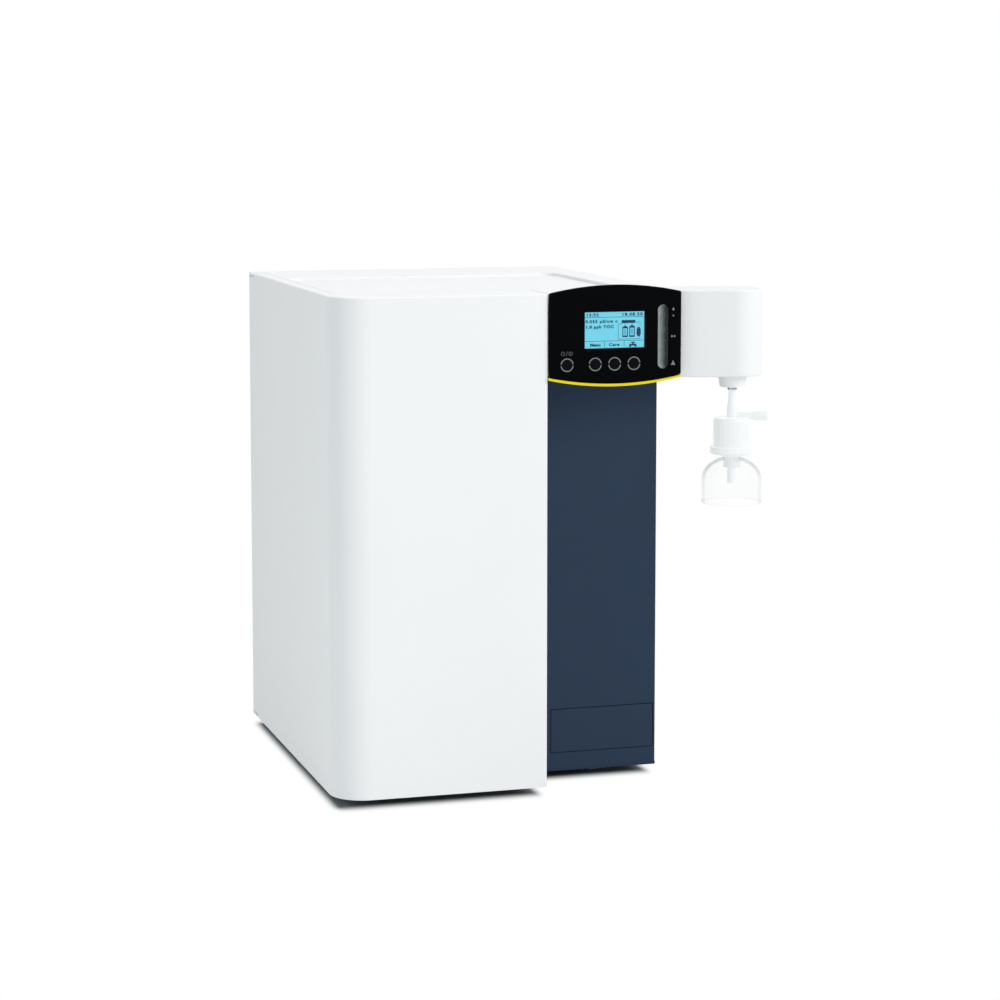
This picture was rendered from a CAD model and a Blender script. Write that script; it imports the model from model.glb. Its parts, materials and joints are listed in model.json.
# %% [markdown]
# # Ultrapure water system
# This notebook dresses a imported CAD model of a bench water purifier: a white cabinet with a wrap-round
# door, a slate column, a black control head and an arm with a clear bell. The CAD gives every size and
# every moving body. Here the pieces get their finishes, and the fine things that CAD leaves out, such as
# the rings on the keys, the screen's drawing and the bell's moulded rim, are modelled by hand.

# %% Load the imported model
import json
import math

import bmesh
import bpy
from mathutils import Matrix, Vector


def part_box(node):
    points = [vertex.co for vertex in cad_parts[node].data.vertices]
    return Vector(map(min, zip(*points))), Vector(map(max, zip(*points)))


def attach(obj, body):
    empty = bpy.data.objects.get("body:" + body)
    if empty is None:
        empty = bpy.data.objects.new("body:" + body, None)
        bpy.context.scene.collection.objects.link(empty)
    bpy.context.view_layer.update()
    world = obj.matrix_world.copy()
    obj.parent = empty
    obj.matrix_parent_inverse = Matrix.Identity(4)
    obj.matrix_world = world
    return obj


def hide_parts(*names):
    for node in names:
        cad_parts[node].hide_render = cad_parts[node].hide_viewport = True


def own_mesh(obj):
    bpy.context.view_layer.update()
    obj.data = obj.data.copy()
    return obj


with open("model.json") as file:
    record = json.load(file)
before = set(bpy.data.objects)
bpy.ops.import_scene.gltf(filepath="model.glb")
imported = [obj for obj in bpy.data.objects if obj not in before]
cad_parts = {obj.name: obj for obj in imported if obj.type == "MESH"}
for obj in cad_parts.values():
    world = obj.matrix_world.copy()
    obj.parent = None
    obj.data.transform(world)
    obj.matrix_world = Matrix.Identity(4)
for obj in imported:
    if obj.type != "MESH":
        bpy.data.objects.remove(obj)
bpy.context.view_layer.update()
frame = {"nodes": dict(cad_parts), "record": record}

nodes = frame["nodes"]

# %% [markdown]
# ## Shader maths as plain expressions
# A procedural finish is a small sum: so much noise, plus so much grain, times a wear mask. Wiring Math
# nodes by hand hides the sum. A class that wraps a socket and overloads the operators lets the sum be
# written as Python, and each operator drops in the Math node it needs. The reflected forms are there too,
# so that 3 - mask works as well as mask - 3.

# %% A wrapped socket
class Wave:
    """A number, colour or shader that a node's output socket carries."""

    def __init__(self, tree, socket):
        self.tree = tree
        self.socket = socket

    def maths(self, operation, first, second):
        return self.tree.node("ShaderNodeMath", {"operation": operation}, {0: first, 1: second})

    def __add__(self, other):
        return self.maths("ADD", self, other)

    def __sub__(self, other):
        return self.maths("SUBTRACT", self, other)

    def __rsub__(self, other):
        return self.maths("SUBTRACT", other, self)

    def __mul__(self, other):
        return self.maths("MULTIPLY", self, other)

    def __gt__(self, other):
        return self.maths("GREATER_THAN", self, other)

    __radd__ = __add__
    __rmul__ = __mul__

    def at_least(self, floor):
        return self.maths("MAXIMUM", self, floor)

    def at_most(self, roof):
        return self.maths("MINIMUM", self, roof)

    def unsigned(self):
        return self.maths("ABSOLUTE", self, 0.0)

    def root(self):
        return self.maths("SQRT", self, 0.0)


print("a wave can", [name for name in dir(Wave) if not name.startswith("_")])

# %% A tree of nodes
class Tree:
    """The nodes of one material or world. Every kind of node is added by the same method."""

    def __init__(self, owner):
        owner.use_nodes = True
        self.nodes = owner.node_tree.nodes
        self.links = owner.node_tree.links

    def put(self, port, value):
        if isinstance(value, Wave):
            self.links.new(value.socket, port)
        else:
            port.default_value = value

    def node(self, kind, settings, sockets, out=0):
        made = self.nodes.new(kind)
        for key, value in settings.items():
            setattr(made, key, value)
        for key, value in sockets.items():
            self.put(made.inputs[key], value)
        return Wave(self, made.outputs[out])

    def mix(self, mask, low, high):
        """A colour between two colours or waves, as the mask goes from 0 to 1."""
        ends = [value if isinstance(value, Wave) else (*value, 1.0) for value in (low, high)]
        return self.node("ShaderNodeMix", {"data_type": "RGBA"}, {0: mask, 6: ends[0], 7: ends[1]}, 2)

    def seen_rays(self):
        """1 for what is seen directly, in a reflection or through glass, and 0 for what only lights."""
        kinds = ("Is Camera Ray", "Is Glossy Ray", "Is Transmission Ray")
        eye, gloss, glass = [self.node("ShaderNodeLightPath", {}, {}, kind) for kind in kinds]
        return eye + gloss + glass

    def surface(self, shader):
        output = [n for n in self.nodes if n.type in ("OUTPUT_MATERIAL", "OUTPUT_WORLD")][0]
        self.put(output.inputs["Surface"], shader)


print("a tree can", [name for name in dir(Tree) if not name.startswith("_")])

# %% [markdown]
# ## A finish
# A finish is one material. It could be a picture wrapped on each piece, but a picture has a fixed sharpness
# and needs seams. Noise that is worked out from the place on the piece has neither, and its scale is in real
# metres. So a finish starts from a colour, a roughness and a metallic value, and noise is fed into them.

# %% A finish and its noise
class Finish(Tree):
    """One material: a Principled shader and whatever feeds it."""

    def __init__(self, name, colour, roughness, metallic=0.0, **extra):
        self.material = bpy.data.materials.new(name)
        super().__init__(self.material)
        self.shader = self.nodes["Principled BSDF"]
        self.colour = colour
        self.shader.inputs["Base Color"].default_value = (*colour, 1.0)
        self.shader.inputs["Roughness"].default_value = roughness
        self.shader.inputs["Metallic"].default_value = metallic
        for port, value in extra.items():
            self.shader.inputs[port.replace("_", " ")].default_value = value
        self.place = self.node("ShaderNodeTexCoord", {}, {}, "Object")

    def noise(self, scale, detail=3.0, stretch=(1.0, 1.0, 1.0)):
        at = self.node("ShaderNodeMapping", {}, {"Vector": self.place, "Scale": stretch})
        return self.node("ShaderNodeTexNoise", {}, {"Vector": at, "Scale": scale, "Detail": detail})

    def cells(self, scale):
        return self.node("ShaderNodeTexVoronoi", {}, {"Vector": self.place, "Scale": scale})

    def along(self, axis):
        return self.node("ShaderNodeSeparateXYZ", {}, {0: self.place}, axis)

    def feed(self, port, wave):
        self.put(self.shader.inputs[port], wave)
        return self

    def shades(self, mask, dark, light):
        """Base colour between two tints of the finish's own colour, chosen by a mask."""
        low = [c * dark for c in self.colour]
        high = [min(1.0, c * light) for c in self.colour]
        return self.feed("Base Color", self.mix(mask, low, high))

    def bump(self, height, depth):
        return self.feed("Normal", self.node("ShaderNodeBump", {}, {"Height": height, "Distance": depth}))


def srgb(red, green, blue):
    """A colour as a paint chart gives it, turned into the linear values that shaders use."""
    parts = [value / 255.0 for value in (red, green, blue)]
    return tuple(p / 12.92 if p <= 0.04045 else ((p + 0.055) / 1.055) ** 2.4 for p in parts)


print("plain white is", srgb(255, 255, 255), "and mid grey", round(srgb(128, 128, 128)[0], 3))

# %% [markdown]
# ## Families of finish
# Most of the unit is one of a few real finishes: moulded plastic with a fine spark-eroded texture, sheet
# steel under powder coat with its orange peel, bare metal with a brushed or turned grain, soft rubber,
# and clear plastic. Each piece could have a material written out in full, but one function for each family
# keeps the scale of its grain honest: mould texture is under half a millimetre, and orange peel is two or
# three millimetres from bump to bump.

# %% Grain of each family, in repeats to the metre
eroded_grain = 2600.0
peel_grain = 420.0
speck_grain = 3200.0
hair_grain = 260.0
mottle_grain = 180.0
dust_grain = 900.0
print("mould texture", round(1000.0 / eroded_grain, 2), "mm apart")
print("orange peel", round(1000.0 / peel_grain, 1), "mm apart")

# %% Moulded plastic and powder coat
def moulded(name, colour, roughness=0.45, grain=0.000025, **extra):
    """Injection-moulded plastic: very fine eroded texture and faint drift in gloss."""
    made = Finish(name, colour, roughness, **extra)
    fine = made.noise(eroded_grain, 2.0)
    drift = made.noise(9.0, 4.0)
    made.shades(drift * 0.7 + fine * 0.3, 0.965, 1.02)
    made.feed("Roughness", drift * 0.10 + fine * 0.05 + (roughness - 0.075))
    return made.bump(fine, grain)


def coated(name, colour, roughness=0.4, peel=0.00005, **extra):
    """Powder coat on sheet metal: soft orange peel, tiny specks, a slow drift in tone."""
    made = Finish(name, colour, roughness, **extra)
    orange = made.noise(peel_grain, 1.0)
    speck = made.noise(speck_grain, 1.0)
    drift = made.noise(6.0, 3.0)
    made.shades(drift * 0.6 + speck * 0.4, 0.94, 1.05)
    made.feed("Roughness", orange * 0.12 + drift * 0.08 + (roughness - 0.10))
    return made.bump(orange + speck * 0.35, peel)


print("families so far: moulded, coated")

# %% Bare metal and rubber
def brushed(name, colour, roughness=0.32, along=(1.0, 1.0, 60.0), **extra):
    """Bare metal with a grain drawn out along one direction."""
    made = Finish(name, colour, roughness, metallic=1.0, **extra)
    hair = made.noise(hair_grain, 6.0, along)
    cloud = made.noise(22.0, 4.0)
    made.shades(hair * 0.6 + cloud * 0.4, 0.86, 1.06)
    made.feed("Roughness", hair * 0.22 + cloud * 0.08 + (roughness - 0.15))
    return made.bump(hair, 0.00002)


def rubbery(name, colour, roughness=0.75):
    """Soft moulded rubber: dull, slightly mottled, with a bloom of dust."""
    made = Finish(name, colour, roughness)
    mottle = made.noise(mottle_grain, 5.0)
    dust = made.cells(dust_grain)
    made.shades(mottle * 0.7 + dust * 0.3, 0.85, 1.15)
    made.feed("Roughness", mottle * 0.15 + (roughness - 0.075))
    return made.bump(mottle + dust * 0.5, 0.00006)


print("and two more: brushed, rubbery")

# %% [markdown]
# ## Finishes of the cabinet
# The door is one white moulding, a touch cooler than the steel top. The column is slate-blue coated steel,
# and so is the base, whose left edge is painted white to go with the door. A second material on a few faces
# could give that edge, but the CAD mesh is left as it is, so the colour steps at a fixed place instead.
# Colours are written as the paint looks in plain light, because the lamps are set to a plain level.

# %% Cabinet finishes
door_white = moulded("door_white", srgb(244, 245, 246), 0.42, 0.00002)
steel_white = coated("steel_white", srgb(243, 244, 245), 0.42)
slate_coat = coated("slate_coat", srgb(37, 54, 75), 0.5, 0.00003, Specular_IOR_Level=0.15)
base_coat = coated("base_coat", srgb(37, 54, 75), 0.5, 0.00003, Specular_IOR_Level=0.15)
white_edge_x = -0.212
right_of_edge = base_coat.along(0) > white_edge_x
base_coat.feed("Base Color", base_coat.mix(right_of_edge, srgb(240, 241, 242), srgb(34, 50, 70)))
zinc_plate = brushed("zinc_plate", srgb(196, 199, 202), 0.38, (40.0, 1.0, 1.0))
zinc_bracket = brushed("zinc_bracket", srgb(188, 192, 196), 0.36, (1.0, 1.0, 40.0))
screw_zinc = brushed("screw_zinc", srgb(205, 207, 210), 0.28, (1.0, 30.0, 1.0))
nickel_magnet = brushed("nickel_magnet", srgb(190, 190, 192), 0.22, (1.0, 1.0, 8.0))
foot_rubber = rubbery("foot_rubber", srgb(205, 206, 207), 0.7)
port_grey = moulded("port_grey", srgb(112, 116, 122), 0.5)
collet_blue = moulded("collet_blue", srgb(38, 84, 150), 0.4)
inlet_black = moulded("inlet_black", srgb(28, 28, 30), 0.5)
switch_black = moulded("switch_black", srgb(18, 18, 19), 0.25, 0.00001)
print(len(bpy.data.materials), "materials so far")

# %% [markdown]
# ## Finishes of the head, the arm and the filter
# The fascia is black film over plastic, so it is finer and reflects less than a plain moulding. The finger
# groove is grey. The filter is natural polypropylene, which glows slightly because light passes into it.
# Subsurface light could do that, but in walls this thin it turns grey, so a darker base with a faint emission
# stands in for it. The bell is clear, and its edges are denser, because the eye looks along the wall there.

# %% Head and arm finishes
fascia_black = moulded("fascia_black", srgb(4, 5, 6), 0.34, 0.000006, Specular_IOR_Level=0.02)
key_black = moulded("key_black", srgb(8, 9, 10), 0.4, 0.000006, Specular_IOR_Level=0.04)
trim_yellow = moulded("trim_yellow", srgb(234, 214, 8), 0.4, 0.00001, Specular_IOR_Level=0.2)
rocker_grey = moulded("rocker_grey", srgb(118, 134, 134), 0.4, 0.00001, Specular_IOR_Level=0.25)
dome_grey = rubbery("dome_grey", srgb(150, 152, 154), 0.6)
arm_white = moulded("arm_white", srgb(238, 240, 241), 0.38, 0.000012)
collar_white = moulded("collar_white", srgb(251, 252, 252), 0.42, 0.000012)
nozzle_chrome = brushed("nozzle_chrome", srgb(160, 166, 170), 0.18, (1.0, 1.0, 0.2))
filter_natural = moulded("filter_natural", srgb(168, 171, 173), 0.4, 0.00001, Emission_Strength=0.5)
filter_natural.shader.inputs["Emission Color"].default_value = (0.98, 1.0, 1.0, 1.0)
membrane = moulded("membrane", srgb(240, 240, 236), 0.8, 0.0001)
print("head and arm finishes done")

# %% Clear finishes
rim_full = 0.85
skirt_share = 0.4


def clear(name, colour, roughness, alpha_flat, alpha_edge, edge_shade=0.8, rim_from=0.35, shoulder=None):
    """Thin clear plastic: nearly unseen face on, and denser and darker towards its edges.

    A shoulder is two heights. Below the first, on the straight skirt, the edges are only skirt_share as
    dense, and they reach their full density at the second, where the wall bends into the dome.
    """
    made = Finish(name, colour, roughness)
    facing = made.node("ShaderNodeLayerWeight", {}, {"Blend": 0.35}, "Facing")
    grazing = ((facing - rim_from) * (1.0 / (rim_full - rim_from))).at_least(0.0)
    if shoulder:
        climb = (made.along(2) - shoulder[0]) * (1.0 / (shoulder[1] - shoulder[0]))
        grazing = grazing * (climb.at_least(0.0).at_most(1.0) * (1.0 - skirt_share) + skirt_share)
    made.feed("Alpha", grazing * (alpha_edge - alpha_flat) + alpha_flat)
    made.shades(grazing, 1.0, edge_shade)
    haze = made.noise(60.0, 3.0)
    made.feed("Roughness", haze * 0.06 + (roughness - 0.03))
    ripple = made.noise(35.0, 2.0)
    return made.bump(ripple, 0.00004)


skirt_top = 0.022
dome_foot = 0.034
bell_low, bell_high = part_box("bell")
bell_shoulder = (bell_low.z + skirt_top, bell_low.z + dome_foot)
bell_clear = clear("bell_clear", srgb(238, 242, 244), 0.06, 0.03, 0.8, 0.3, 0.44, bell_shoulder)
rim_clear = clear("rim_clear", srgb(238, 242, 244), 0.06, 0.02, 0.2, 0.6)
quartz_clear = clear("quartz_clear", srgb(214, 228, 236), 0.05, 0.25, 0.85)
window_clear = clear("window_clear", srgb(120, 150, 160), 0.08, 0.06, 0.35)
print("clear finishes done")

# %% [markdown]
# ## Finishes inside the cabinet
# The inside is seen when the door swings out. Cartridges are white with blue caps, the reactor is brushed
# stainless steel, and the pump is brass on a black motor. Flat colours might do for what is seldom seen, but
# the families give each of them a real surface in one line, so nothing looks unfinished behind the door.

# %% Inner finishes
cradle_grey = moulded("cradle_grey", srgb(176, 180, 184), 0.6, 0.00005)
cartridge_white = moulded("cartridge_white", srgb(236, 239, 241), 0.4)
resin_amber = rubbery("resin_amber", srgb(178, 132, 62), 0.8)
cap_blue = moulded("cap_blue", srgb(40, 82, 136), 0.42)
seal_black = rubbery("seal_black", srgb(28, 28, 28), 0.6)
manifold_grey = moulded("manifold_grey", srgb(104, 107, 112), 0.5, 0.00004)
reactor_steel = brushed("reactor_steel", srgb(206, 208, 211), 0.28, (1.0, 1.0, 50.0))
motor_black = coated("motor_black", srgb(40, 41, 44), 0.5, 0.00006)
pump_brass = brushed("pump_brass", srgb(205, 174, 104), 0.3, (1.0, 20.0, 1.0))
rotor_steel = brushed("rotor_steel", srgb(172, 175, 178), 0.3, (1.0, 0.3, 1.0))
valve_black = moulded("valve_black", srgb(42, 43, 46), 0.5)
coil_black = moulded("coil_black", srgb(24, 24, 26), 0.25)
tube_natural = moulded("tube_natural", srgb(226, 231, 232), 0.3, 0.00001, Subsurface_Weight=0.4,
                       Subsurface_Radius=(1.0, 1.0, 1.0), Subsurface_Scale=0.003)
cell_white = moulded("cell_white", srgb(228, 228, 224), 0.45)
supply_metal = brushed("supply_metal", srgb(200, 203, 206), 0.4, (1.0, 1.0, 30.0))
board_green = coated("board_green", srgb(26, 104, 58), 0.3, 0.00002)
print(len(bpy.data.materials), "materials")

# %% Give every CAD node its finish
coats = {
    door_white: ("cover_door", "head_housing"),
    steel_white: ("top_panel", "right_panel", "rear_panel"),
    slate_coat: ("column_panel", "service_plate"),
    base_coat: ("base_plate",),
    zinc_plate: ("bulkhead",),
    zinc_bracket: ("inner_brackets", "arm_bracket"),
    screw_zinc: ("case_screws", "pivot_pins"),
    nickel_magnet: ("catch_magnets",),
    foot_rubber: ("feet",),
    port_grey: ("water_ports", "union_seat", "union_head"),
    collet_blue: ("port_collets",),
    inlet_black: ("power_inlet", "switch_frame"),
    switch_black: ("power_switch",),
    fascia_black: ("fascia",),
    key_black: ("standby_key", "menu_key", "care_key", "dispense_key"),
    trim_yellow: ("fascia_trim",),
    rocker_grey: ("flow_rocker",),
    dome_grey: ("key_domes",),
    arm_white: ("arm_shell", "arm_base"),
    collar_white: ("outlet_collar",),
    nozzle_chrome: ("outlet_nozzle",),
    filter_natural: ("filter_upper", "filter_lower", "vent_cap"),
    membrane: ("filter_core",),
    bell_clear: ("bell",),
    quartz_clear: ("uv_lamp",),
    window_clear: ("display_window",),
    cradle_grey: ("cartridge_cradle",),
    cartridge_white: ("cartridges",),
    resin_amber: ("resin_beds",),
    cap_blue: ("cartridge_caps",),
    seal_black: ("cartridge_seals", "display_module"),
    manifold_grey: ("cartridge_manifold",),
    reactor_steel: ("uv_reactor",),
    motor_black: ("pump_motor",),
    pump_brass: ("pump_head",),
    rotor_steel: ("pump_rotor",),
    valve_black: ("valve_bodies",),
    coil_black: ("valve_coils",),
    tube_natural: ("water_tubes", "arm_hose"),
    cell_white: ("conductivity_cell",),
    supply_metal: ("power_supply",),
    board_green: ("control_board", "key_board"),
}
coated_nodes = set()
for finish, names in coats.items():
    for name in names:
        nodes[name].data.materials.clear()
        nodes[name].data.materials.append(finish.material)
        coated_nodes.add(name)
print("nodes without a finish:", sorted(set(nodes) - coated_nodes))

# %% [markdown]
# ## Tools for modelling by hand
# Every new piece starts as a primitive, is shaped in edit mode, and ends with its place in its mesh and
# its object at the origin. By hand one would click on faces. In a script each face or edge is asked where it
# lies, which also holds when the CAD model's sizes change.

# %% Picking pieces, faces and edges
def clear_selection():
    if bpy.context.object and bpy.context.object.mode != "OBJECT":
        bpy.ops.object.mode_set(mode="OBJECT")
    bpy.ops.object.select_all(action="DESELECT")


def pick(piece):
    """Leaves one piece selected and active."""
    clear_selection()
    piece.select_set(True)
    bpy.context.view_layer.objects.active = piece


def set_place():
    """Moves the active object's place, turn and size into its mesh."""
    bpy.ops.object.transform_apply(location=True, rotation=True, scale=True)


def edit(kind, keep):
    """Opens the active mesh for editing with only the faces, or the edges, selected that keep() accepts."""
    bpy.ops.object.mode_set(mode="EDIT")
    bpy.ops.mesh.select_mode(type=kind)
    bpy.ops.mesh.select_all(action="DESELECT")
    shape = bmesh.from_edit_mesh(bpy.context.object.data)
    for part in (shape.faces if kind == "FACE" else shape.edges):
        part.select_set(keep(part))
    shape.select_flush_mode()
    bmesh.update_edit_mesh(bpy.context.object.data)


print("picked now:", len(bpy.context.selected_objects), "objects")

# %% Settling a finished piece
def settle(piece, name, body, finish, stands_for=()):
    """Applies a piece's place, names and paints it, and hangs it on its body."""
    pick(piece)
    set_place()
    piece.name = name
    piece.data.name = name
    piece.data.materials.clear()
    piece.data.materials.append(finish.material)
    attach(piece, body)
    if stands_for:
        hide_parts(*stands_for)
    return piece


def centre_of(node):
    low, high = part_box(node)
    return (low + high) / 2.0


print("the bell's middle is at", [round(v, 4) for v in centre_of("bell")])

# %% [markdown]
# ## Rings on the keys
# Each key shows a thin grey ring, broken at three and nine o'clock. It is printed, so it stands up by
# almost nothing. A filled circle is inset to leave a narrow band, the middle and the two gaps are deleted,
# and the band gets a thickness of a twentieth of a millimetre. Cutting one disc out of another would do too,
# but the inset leaves even faces. One ring is made and copied for each key.

# %% Print and its thickness
print_grey = moulded("print_grey", srgb(112, 120, 118), 0.5, 0.000004)
print_dim = moulded("print_dim", srgb(84, 90, 90), 0.5, 0.000004)
ink = 0.00005
facing_front = (math.pi / 2, 0.0, 0.0)


def thicken(depth=ink):
    """Gives a flat shape in edit mode a thickness towards the front, and turns its faces outwards."""
    bpy.ops.mesh.select_all(action="SELECT")
    bpy.ops.mesh.extrude_region_move(TRANSFORM_OT_translate={"value": (0, -depth, 0)})
    bpy.ops.mesh.select_all(action="SELECT")
    bpy.ops.mesh.normals_make_consistent(inside=False)
    bpy.ops.object.mode_set(mode="OBJECT")


print("print is", ink * 1000, "mm thick")

# %% A ring with gaps
ring_r = 0.0068
ring_band = 0.00105
ring_facets = 96
gap_half = math.radians(8.0)


def band(radius, width, gaps):
    """A flat ring about the origin, facing the front, with the faces gone that gaps() accepts."""
    clear_selection()
    bpy.ops.mesh.primitive_circle_add(vertices=ring_facets, radius=radius, fill_type="NGON",
                                      rotation=facing_front)
    piece = bpy.context.object
    set_place()
    edit("FACE", lambda face: True)
    bpy.ops.mesh.inset(thickness=width)
    bpy.ops.mesh.delete(type="FACE")
    edit("FACE", lambda face: gaps(math.atan2(*face.calc_center_median().zx)))
    bpy.ops.mesh.delete(type="FACE")
    thicken()
    return piece


def copy_to(model, x, y, z):
    """A copy with its own mesh, moved from the origin to its place."""
    pick(model)
    bpy.ops.object.duplicate(linked=False)
    made = bpy.context.object
    bpy.ops.transform.translate(value=(x, y, z))
    return made


print("a ring is", round(ring_r * 2000, 1), "mm across and", round(ring_band * 1000, 2), "mm wide")

# %% Key rings
keys = {key: key + "_button" for key in ("standby", "menu", "care", "dispense")}
ring = band(ring_r, ring_band, lambda turn: abs(math.sin(turn)) < math.sin(gap_half))
for key, body in keys.items():
    middle = centre_of(key + "_key")
    face_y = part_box(key + "_key")[0].y
    settle(copy_to(ring, middle.x, face_y, middle.z), key + "_key_ring", body, print_grey)
bpy.data.objects.remove(ring)
print("rings on", len(keys), "keys")

# %% [markdown] ## Rubber domes behind the keys Behind each key a thin rubber skirt spreads from the key's
# flange to the board, and it buckles when the key is pushed. A CAD solid can't buckle, so each dome is a
# piece of its own here: an open cone, cut round its middle, where the ring is let out into a soft fold, and
# then given its wall. A cylinder would pass as well, but the cone leaves the key's sides free.

# %% Key domes
domes_low, domes_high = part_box("key_domes")
dome_long = domes_high.y - domes_low.y
dome_wide = (domes_high.z - domes_low.z) / 2
dome_narrow = 0.0040
dome_wall = 0.0007
dome_fold = 1.06
dome_facets = 48
smooth_below = math.radians(40.0)
travels = {joint["name"]: joint.get("range_m") for joint in frame["record"]["behaviour"]["joints"]}
for key, body in keys.items():
    middle = centre_of(key + "_key")
    dome_middle = (middle.x, (domes_low.y + domes_high.y) / 2, middle.z)
    clear_selection()
    bpy.ops.mesh.primitive_cone_add(vertices=dome_facets, radius1=dome_wide, radius2=dome_narrow,
                                    depth=dome_long, end_fill_type="NOTHING", location=dome_middle,
                                    rotation=facing_front)
    dome = bpy.context.object
    set_place()
    edit("FACE", lambda face: True)
    bpy.ops.mesh.bisect(plane_co=dome_middle, plane_no=(0, 1, 0))
    bpy.ops.transform.resize(value=(dome_fold, 1.0, dome_fold), center_override=dome_middle)
    bpy.ops.mesh.select_all(action="SELECT")
    bpy.ops.mesh.normals_make_consistent(inside=False)
    bpy.ops.object.mode_set(mode="OBJECT")
    wall = dome.modifiers.new("wall", "SOLIDIFY")
    wall.thickness = dome_wall
    wall.offset = -1.0
    bpy.ops.object.modifier_apply(modifier="wall")
    bpy.ops.object.shade_smooth_by_angle(angle=smooth_below)
    settle(dome, key + "_dome", "cabinet", dome_grey, ("key_domes",))
    travel = travels[key + "_press"][1]
    1.0 - travel / dome_long
    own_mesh(dome)
print("domes", round(dome_long * 1000, 1), "mm deep, pressed by", travel * 1000, "mm")

# %% [markdown]
# ## Small printed marks
# Beside the finger groove are a large drop, a small drop, a pair of drops and a flask, which say what a
# push there does. Above the first key are two power marks with a stroke between them. Print is often a
# picture on the surface, but an outline stays sharp however near the eye comes. So they are drawn as flat
# outlines in edit mode, all in one mesh, and then thickened like the rings.

# %% Outlines drawn in edit mode
seed_r = 0.001


def draw(shapes, place_y, depth=ink):
    """One thin piece from flat outlines, each a list of (x, z) corners, standing on the plane y = place_y.

    Each outline starts as a small circle with as many corners, and every corner is then put in its place.
    """
    clear_selection()
    bpy.ops.mesh.primitive_circle_add(vertices=len(shapes[0]), radius=seed_r, rotation=facing_front)
    piece = bpy.context.object
    set_place()
    for count, corners in enumerate(shapes):
        bpy.ops.object.mode_set(mode="EDIT")
        if count:
            bpy.ops.mesh.select_all(action="DESELECT")
            bpy.ops.mesh.primitive_circle_add(vertices=len(corners), radius=seed_r, rotation=facing_front)
        shape = bmesh.from_edit_mesh(piece.data)
        fresh = [v for v in shape.verts if v.select]
        for vert, (x, z) in zip(fresh, corners):
            vert.co = Vector((x, place_y, z))
        bmesh.update_edit_mesh(piece.data)
        bpy.ops.mesh.edge_face_add()
    thicken(depth)
    return piece


print("outlines start as rounds", seed_r * 2000, "mm across")

# %% Drops, bars and arcs
drop_facets = 24
drop_point = 1.9


def drop(x, z, r):
    """A water drop: a round with its top drawn up to a point."""
    turns = [math.radians(90.0 + 360.0 * step / drop_facets) for step in range(drop_facets)]
    corners = [(x + r * math.cos(turn), z + r * math.sin(turn)) for turn in turns]
    corners[0] = (x, z + drop_point * r)
    return corners


def bar(x0, z0, x1, z1):
    return [(x0, z0), (x1, z0), (x1, z1), (x0, z1)]


def arc(x, z, r, width, start, stop, steps=20):
    """A bent bar about a centre, from one angle to another in degrees."""
    turns = [math.radians(start + (stop - start) * step / steps) for step in range(steps + 1)]
    outer = [(x + r * math.cos(turn), z + r * math.sin(turn)) for turn in turns]
    inner = [(x + (r - width) * math.cos(turn), z + (r - width) * math.sin(turn)) for turn in reversed(turns)]
    return outer + inner


print("a drop has", drop_facets, "corners")

# %% Marks by the groove
fascia_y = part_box("fascia")[0].y
groove_low, groove_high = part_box("flow_rocker")
across = (rocker_grey.along(0) - groove_low.x) * (1.0 / (groove_high.x - groove_low.x))
mottle = rocker_grey.noise(240.0, 3.0)
shade = across * 1.6 + mottle * 0.4 - 0.36
rocker_grey.feed("Base Color", rocker_grey.mix(shade, srgb(146, 156, 154), srgb(28, 36, 40)))
mark_x = groove_high.x + 0.0037
pair_half = 0.0014
flask_foot, flask_shoulder, flask_lip = [groove_high.z - down for down in (0.0612, 0.0578, 0.0568)]
flask_half, neck_half = 0.0024, 0.0006
groove_marks = [drop(mark_x + aside, groove_high.z - down, r) for aside, down, r in (
    (0.0, 0.0049, 0.00125), (0.0, 0.0114, 0.00085),
    (-pair_half, 0.0322, 0.00095), (pair_half, 0.0322, 0.00095))]
groove_marks.append([(mark_x + aside, z) for aside, z in (
    (-flask_half, flask_foot), (flask_half, flask_foot), (neck_half, flask_shoulder), (neck_half, flask_lip),
    (-neck_half, flask_lip), (-neck_half, flask_shoulder))])
settle(draw(groove_marks, fascia_y), "groove_marks", "cabinet", print_grey)
print("groove marks:", len(groove_marks), "outlines")

# %% Power marks over the first key
key_x = centre_of("standby_key").x
icon_z = centre_of("standby_key").z + 0.0113
icon_r = 0.0021
stroke = 0.00042
left_x = key_x - 0.0042
right_x = key_x + 0.0038
power_marks = [
    arc(left_x, icon_z, icon_r, stroke, 118.0, 422.0),
    bar(left_x - stroke / 2, icon_z + 0.0003, left_x + stroke / 2, icon_z + 0.0025),
    [(key_x - 0.0012, icon_z - 0.0024), (key_x - 0.0008, icon_z - 0.0024),
     (key_x + 0.0009, icon_z + 0.0026), (key_x + 0.0005, icon_z + 0.0026)],
    arc(right_x, icon_z, icon_r, stroke, 0.0, 180.0),
    arc(right_x, icon_z, icon_r, stroke, 180.0, 360.0),
    bar(right_x - stroke / 2, icon_z - 0.0011, right_x + stroke / 2, icon_z + 0.0011),
]
settle(draw(power_marks, fascia_y), "standby_mark", "cabinet", print_dim)
print("power marks:", len(power_marks), "outlines")

# %% [markdown]
# ## The screen
# The screen is a lit panel behind a clear window. The panel is a plane whose field, inside a narrow border,
# stands a tenth of a millimetre proud. On it lie the drawing and the words, each a twentieth of a millimetre
# thick, so that they stay sharp as the key marks do. The window is thinner than the CAD's, so that there is
# room between it and the panel, and its front edges are bevelled to catch the light.

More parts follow.
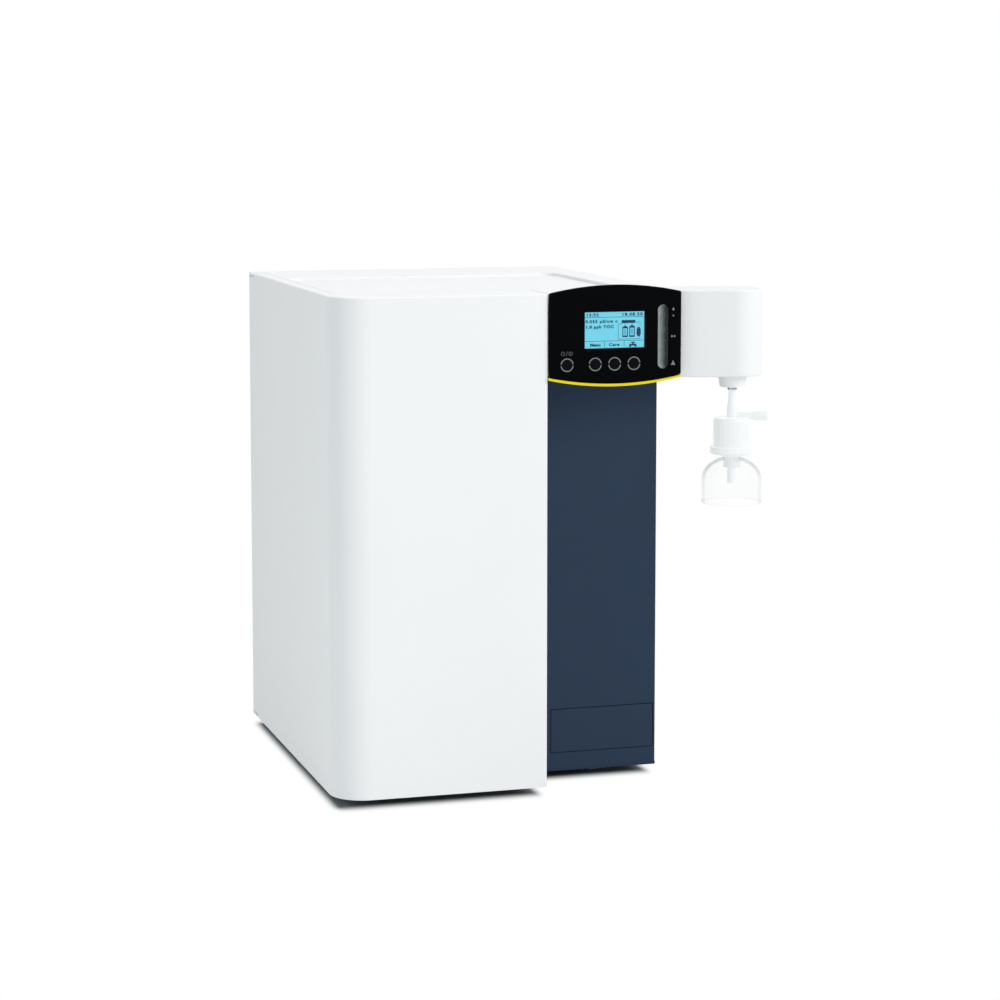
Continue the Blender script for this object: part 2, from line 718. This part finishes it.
# %% Lit panel
window_low, window_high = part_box("display_window")
glass_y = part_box("display_module")[0].y
screen_w = window_high.x - window_low.x
screen_h = window_high.z - window_low.z
screen_middle = (window_low + window_high) / 2.0
panel_lit = Finish("panel_lit", srgb(40, 70, 80), 0.5, Emission_Strength=1.0, Specular_IOR_Level=0.1)
pixels = panel_lit.node("ShaderNodeTexChecker", {}, {"Vector": panel_lit.place, "Scale": 1800.0}, 1)
glow = panel_lit.noise(18.0, 2.0) * 0.5 + pixels * 0.25
panel_lit.feed("Emission Color", panel_lit.mix(glow, srgb(106, 204, 226), srgb(122, 222, 243)))
border = 0.0003
raised = 0.0001
clear_selection()
bpy.ops.mesh.primitive_plane_add(size=1.0, rotation=facing_front,
                                 location=(screen_middle.x, glass_y, screen_middle.z))
panel = bpy.context.object
panel.scale = (screen_w, screen_h, 1.0)
set_place()
edit("FACE", lambda face: True)
bpy.ops.mesh.inset(thickness=border)
bpy.ops.mesh.extrude_region_move(TRANSFORM_OT_translate={"value": (0, -raised, 0)})
bpy.ops.object.mode_set(mode="OBJECT")
settle(panel, "screen_panel", "cabinet", panel_lit)
panel_y = glass_y - raised
print("screen", round(screen_w * 1000, 1), "by", round(screen_h * 1000, 1), "mm")

# %% Places and lines on the screen
line = 0.00042


def on_screen(right, down):
    """A place on the screen from shares of its width and height, counted from the top left."""
    return window_low.x + right * screen_w, window_high.z - down * screen_h


def box_on_screen(left, top, right, bottom):
    x0, z1 = on_screen(left, top)
    x1, z0 = on_screen(right, bottom)
    return bar(x0, z0, x1, z1)


def level(left, right, down):
    """A thin level line."""
    x0, z = on_screen(left, down)
    x1, z = on_screen(right, down)
    return bar(x0, z - line / 2, x1, z + line / 2)


def upright(right, top, bottom):
    """A thin upright line."""
    x, z1 = on_screen(right, top)
    x, z0 = on_screen(right, bottom)
    return bar(x - line / 2, z0, x + line / 2, z1)


print("screen lines are", line * 1000, "mm wide")

# %% Screen drawing
screen_ink = moulded("screen_ink", srgb(14, 38, 88), 0.6, 0.000002, Specular_IOR_Level=0.1)
drawing = [
    level(0.01, 0.99, 0.150), level(0.01, 0.99, 0.805),
    upright(0.34, 0.82, 0.975), upright(0.665, 0.82, 0.975),
    box_on_screen(0.622, 0.24, 0.85, 0.325),
    upright(0.565, 0.345, 0.765), level(0.565, 0.635, 0.345),
    level(0.85, 0.93, 0.30), upright(0.93, 0.30, 0.42),
    level(0.565, 0.93, 0.765), upright(0.93, 0.70, 0.765),
    upright(0.68, 0.33, 0.40), upright(0.795, 0.33, 0.39),
]
for left, top in ((0.635, 0.425), (0.75, 0.41)):
    right = left + 0.092
    drawing += [
        box_on_screen(left, top + 0.04, left + 0.014, 0.67),
        box_on_screen(right - 0.014, top + 0.04, right, 0.67),
        box_on_screen(left, top, right, top + 0.045), box_on_screen(left, 0.665, right, 0.71),
        box_on_screen(left + 0.022, top - 0.025, right - 0.022, top),
        upright(left + 0.036, top + 0.07, 0.64), upright(right - 0.036, top + 0.07, 0.64),
    ]
small_filter = ((0.872, 0.48, 0.942, 0.66), (0.886, 0.44, 0.928, 0.48), (0.886, 0.66, 0.928, 0.70))
tap = ((0.75, 0.90, 0.872, 0.95), (0.75, 0.95, 0.782, 0.985), (0.84, 0.95, 0.872, 0.985),
       (0.798, 0.865, 0.826, 0.90), (0.774, 0.845, 0.85, 0.868))
drawing += [box_on_screen(*sides) for sides in small_filter + tap]
settle(draw(drawing, panel_y), "screen_drawing", "cabinet", screen_ink)
print("screen drawing:", len(drawing), "shapes")

# %% Screen words
cap_height = 0.0028
cap_share = 0.69
boldness = 0.0002
letter_stretch = 1.2


def words(text, name, right, down, align, spacing):
    """A thin mesh of screen lettering, cap_height tall. A font's capitals are cap_share of its size."""
    clear_selection()
    x, z = on_screen(right, down)
    bpy.ops.object.text_add(location=(x, panel_y, z), rotation=facing_front)
    made = bpy.context.object
    made.data.body = text
    made.data.size = cap_height / cap_share
    made.data.align_x = align
    made.data.space_character = spacing
    made.scale.x = letter_stretch
    made.data.offset = boldness
    made.data.extrude = ink / 2
    made.data.resolution_u = 3
    bpy.ops.object.convert(target="MESH")
    edit("FACE", lambda face: True)
    bpy.ops.mesh.remove_doubles(threshold=0.000001)
    bpy.ops.object.mode_set(mode="OBJECT")
    return settle(bpy.context.object, name, "cabinet", screen_ink)


for text, name, right, down, align, spacing in (
    ("13:52", "screen_time", 0.03, 0.118, "LEFT", 1.25),
    ("18.08.20", "screen_date", 0.97, 0.118, "RIGHT", 1.3),
    ("0.055 \u00b5S/cm c", "screen_conductivity", 0.02, 0.30, "LEFT", 1.2),
    ("1.8 ppb TOC", "screen_carbon", 0.02, 0.45, "LEFT", 1.15),
    ("Menu", "screen_menu", 0.185, 0.945, "CENTER", 1.0),
    ("Care", "screen_care", 0.50, 0.945, "CENTER", 1.15),
):
    piece = words(text, name, right, down, align, spacing)
    print(name, len(piece.data.polygons), "faces")

# %% Window
window_t = 0.0012
window_bevel = 0.0004
clear_selection()
bpy.ops.mesh.primitive_cube_add(size=1.0,
                                location=(screen_middle.x, window_low.y + window_t / 2, screen_middle.z))
pane = bpy.context.object
pane.scale = (screen_w, window_t, screen_h)
set_place()
edit("EDGE", lambda edge: all(abs(v.co.y - window_low.y) < 1e-6 for v in edge.verts))
bpy.ops.mesh.bevel(offset=window_bevel, segments=3)
bpy.ops.object.mode_set(mode="OBJECT")
settle(pane, "screen_window", "cabinet", window_clear, ("display_window",))
print("window", window_t * 1000, "mm thick")

# %% [markdown]
# ## Filter grip and bell rim
# The capsule has a grip of fine upright ribs, so that wet fingers can push it on. A sleeve a twentieth of a
# millimetre larger than the capsule is made, every sixth face of it is drawn out into a rib, and the rib
# edges are rounded. Small boxes set round the capsule would look alike, but they would be loose parts. The
# bell ends in a moulded rim: a bead whose lower half is drawn down to a blunt edge.

# %% Filter grip
outlet = centre_of("bell")
capsule_r = 0.0190
sleeve_gap = 0.00005
grip_r = capsule_r + sleeve_gap
above_flange = 0.0045
grip_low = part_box("filter_lower")[1].z + above_flange
grip_long = 0.0254
grip_facets = 144
facets_per_rib = 6
rib_height = 0.00025
rib_edge = 0.00008
clear_selection()
bpy.ops.mesh.primitive_cylinder_add(vertices=grip_facets, radius=grip_r, depth=grip_long,
                                    location=(outlet.x, outlet.y, grip_low + grip_long / 2))
grip = bpy.context.object
set_place()


def is_rib(face):
    """Every sixth side face, counted by its turn about the capsule's axis."""
    middle = face.calc_center_median()
    turn = math.degrees(math.atan2(middle.y - outlet.y, middle.x - outlet.x)) % 360.0
    return abs(face.normal.z) < 0.5 and int(turn * grip_facets / 360.0) % facets_per_rib == 0


edit("FACE", is_rib)
bpy.ops.mesh.extrude_region_shrink_fatten(TRANSFORM_OT_shrink_fatten={"value": rib_height})
bpy.ops.mesh.bevel(offset=rib_edge, segments=2)
bpy.ops.object.mode_set(mode="OBJECT")
settle(grip, "filter_grip", "filter", filter_natural)
print("grip", len(grip.data.polygons), "faces")

# %% Bell rim
bead_r = 0.0009
bead_inset = 0.0006
blunt_edge = 0.0003
lower_half = bell_low.z + 0.0007
bell_r = (bell_high.x - bell_low.x) / 2
clear_selection()
bpy.ops.mesh.primitive_torus_add(major_segments=128, minor_segments=12, major_radius=bell_r - bead_inset,
                                 minor_radius=bead_r, location=(outlet.x, outlet.y, bell_low.z + bead_r))
rim = bpy.context.object
set_place()
edit("FACE", lambda face: face.calc_center_median().z < lower_half)
bpy.ops.transform.translate(value=(0, 0, -blunt_edge))
bpy.ops.object.mode_set(mode="OBJECT")
bpy.ops.object.shade_smooth()
settle(rim, "bell_rim", "bell", rim_clear)
print("rim", len(rim.data.polygons), "faces")

# %% [markdown]
# ## Marks by the mains switch
# On the switch frame's rear face, a stroke above the rocker and a round below it say which way is on. They
# are drawn like the marks on the head, but thickened towards the back.

# %% Switch marks
print_white = moulded("print_white", srgb(226, 228, 228), 0.5, 0.000004)
frame_low, frame_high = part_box("switch_frame")
switch_x = (frame_low.x + frame_high.x) / 2
on_half = 0.00025
on_top = frame_high.z - 0.0006
on_foot = frame_high.z - 0.0022
off_z = frame_low.z + 0.0014
off_r = 0.0009
off_stroke = 0.0003
switch_marks = [
    bar(switch_x - on_half, on_foot, switch_x + on_half, on_top),
    arc(switch_x, off_z, off_r, off_stroke, 0.0, 180.0),
    arc(switch_x, off_z, off_r, off_stroke, 180.0, 360.0),
]
settle(draw(switch_marks, frame_high.y, -ink), "switch_marks", "cabinet", print_white)
print("switch marks:", len(switch_marks), "outlines")

# %% [markdown]
# ## Camera, floor and lamps
# The camera stands well back with a long lens, about a sixth of a right angle to the left of the object's
# front. The floor is pale, and past the cabinet's outline it is seen as pure white, so that only the shadow
# close under the cabinet shows. Stronger lamps could whiten the floor, but they would bleach the cabinet
# first, so the floor's own material does it: it turns white over about a centimetre at the sides and about
# three at the front and back, and it is a darker grey right under the cabinet. A soft lamp on the right
# lifts the front over the left side.

# %% Camera
lens_pixels = 2729.8
frame_pixels = 1000.0
film_width = 36.0
looks_down = math.radians(6.348)
looks_right = math.radians(16.582)
camera_data = bpy.data.cameras.new("camera")
camera = bpy.data.objects.new("camera", camera_data)
bpy.context.scene.collection.objects.link(camera)
camera_data.sensor_width = film_width
camera_data.lens = film_width * lens_pixels / frame_pixels
camera_data.shift_y = -0.1
camera_data.clip_end = 100.0
camera.location = (-0.82762, -2.79311, 0.70573)
camera.rotation_euler = (math.pi / 2 - looks_down, 0.0, -looks_right)
bpy.context.scene.camera = camera
print("lens", round(camera_data.lens, 2), "mm")

# %% Floor
floor_pale = (0.86, 0.86, 0.86)
floor_under = (0.31, 0.35, 0.36)
fade_side = 0.0135
fade_front = 0.032
fade_past = 0.005
clear_selection()
bpy.ops.mesh.primitive_plane_add(size=14.0, location=(0, 0, 0))
floor = bpy.context.object
floor.name = "floor"
floor_paint = bpy.data.materials.new("floor_pale")
paint = Tree(floor_paint)
floor_place = paint.node("ShaderNodeTexCoord", {}, {}, "Object")
floor_x = paint.node("ShaderNodeSeparateXYZ", {}, {0: floor_place}, 0)
floor_y = paint.node("ShaderNodeSeparateXYZ", {}, {0: floor_place}, 1)
print("floor", tuple(floor.dimensions))

# %% Where the floor turns white
def openness(low, high):
    """How open the floor is: 0 well under an upright box and 1 just past its outline, with round corners."""
    sides = []
    for wave, start, end, fade in ((floor_x, low.x, high.x, fade_side), (floor_y, low.y, high.y, fade_front)):
        off = (wave - (start + end) / 2).unsigned() - ((end - start) / 2 + fade_past - fade)
        sides.append(off.at_least(0.0) * (1.0 / fade))
    return (sides[0] * sides[0] + sides[1] * sides[1]).root()


door_low, door_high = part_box("cover_door")
body_low = Vector((door_low.x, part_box("column_panel")[0].y, 0.0))
body_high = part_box("right_panel")[1]
nearest = openness(door_low, door_high).at_most(openness(body_low, body_high)).at_most(1.0)
open_floor = nearest * nearest * (3.0 - nearest * 2.0)
floor_colour = paint.mix(open_floor, floor_under, floor_pale)
plain = paint.node("ShaderNodeBsdfDiffuse", {}, {"Color": floor_colour})
bright = paint.node("ShaderNodeEmission", {}, {"Color": (1.0, 1.0, 1.0, 1.0), "Strength": 1.0})
shows_white = paint.seen_rays() * open_floor
paint.surface(paint.node("ShaderNodeMixShader", {}, {0: shows_white, 1: plain, 2: bright}))
floor.data.materials.append(floor_paint)
print("white from", fade_past * 1000.0, "mm past the outline")

# %% Room light
room_level = 0.53
studio = bpy.data.worlds.new("studio")
bpy.context.scene.world = studio
sky = Tree(studio)
room = sky.node("ShaderNodeBackground", {}, {"Color": (0.95, 0.985, 1.0, 1.0), "Strength": room_level})
white = sky.node("ShaderNodeBackground", {}, {"Color": (1.0, 1.0, 1.0, 1.0), "Strength": 1.0})
sky.surface(sky.node("ShaderNodeMixShader", {}, {0: sky.seen_rays(), 1: room, 2: white}))
print("room light", room_level)

# %% Lamps
def lamp(name, place, aim, size, power, colour):
    """A soft square lamp that points at a place."""
    data = bpy.data.lights.new(name, "AREA")
    data.size = size
    data.energy = power
    data.color = colour
    made = bpy.data.objects.new(name, data)
    made.location = place
    made.rotation_euler = (Vector(aim) - Vector(place)).to_track_quat("-Z", "Y").to_euler()
    bpy.context.scene.collection.objects.link(made)
    return made


lamp("front_lamp", (1.9, -2.35, 1.9), (0.0, 0.0, 0.25), 1.8, 54.0, (1.0, 0.98, 0.97))
lamp("left_lamp", (-1.15, -0.75, 0.45), (-0.2, -0.2, 0.25), 0.5, 1.3, (0.8, 1.0, 1.0))
lamp("top_lamp", (-0.3, 0.2, 2.6), (0.0, 0.0, 0.5), 1.8, 15.5, (1.0, 0.985, 0.975))
bpy.context.scene.view_settings.view_transform = "Standard"
